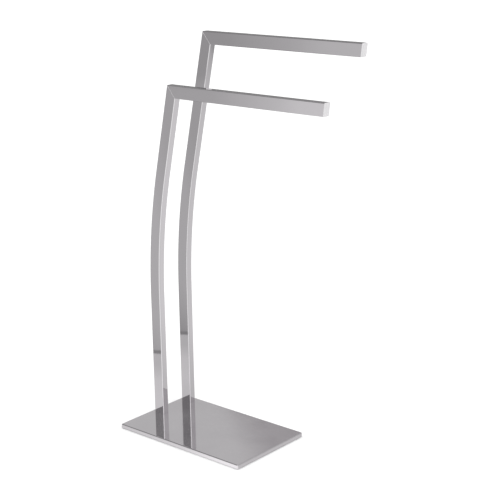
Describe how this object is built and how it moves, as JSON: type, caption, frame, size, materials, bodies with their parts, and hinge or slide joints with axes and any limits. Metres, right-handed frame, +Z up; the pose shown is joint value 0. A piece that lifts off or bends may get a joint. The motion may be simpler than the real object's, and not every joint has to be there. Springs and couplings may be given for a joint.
{
  "type": "towel stand",
  "caption": "Freestanding bathroom towel stand: bowed rectangular-tube uprights with level arms, one lower in front of one higher, on a flat weighted base.",
  "frame": {"origin": "on the floor, below the middle of the overall length and of the base's width", "axes": "+Z up; +X along the arms, from the mitred corners to the free ends; +Y towards the higher, rear frame"},
  "size_m": [0.4774, 0.198, 0.8],
  "materials": {
    "cover_chrome": "polished chrome plating on a pressed steel cover",
    "tube_chrome": "polished chrome plating on welded steel tube",
    "cap_plastic": "pale grey moulded plastic with a satin skin",
    "ballast_steel": "thin black lacquer on flame-cut steel plate",
    "sole_sheet": "matt black foam sheet with a fine pebble",
    "pad_rubber": "matt black rubber",
    "zinc_steel": "bright zinc plating"
  },
  "bodies": {
    "root": {"base_cover": "cover_chrome", "ballast_plate": "ballast_steel", "base_liner": "sole_sheet", "foot_pad_front_left": "pad_rubber", "foot_pad_front_right": "pad_rubber", "foot_pad_rear_left": "pad_rubber", "foot_pad_rear_right": "pad_rubber", "front_upright": "tube_chrome", "rear_upright": "tube_chrome", "front_arm": "tube_chrome", "rear_arm": "tube_chrome", "front_arm_cap": "cap_plastic", "rear_arm_cap": "cap_plastic", "front_foot_plug": "zinc_steel", "rear_foot_plug": "zinc_steel", "upright_screws": "zinc_steel", "spring_washers": "zinc_steel", "plain_washers": "zinc_steel", "ballast_studs": "zinc_steel", "stud_nuts": "zinc_steel"}
  },
  "joints": []
}
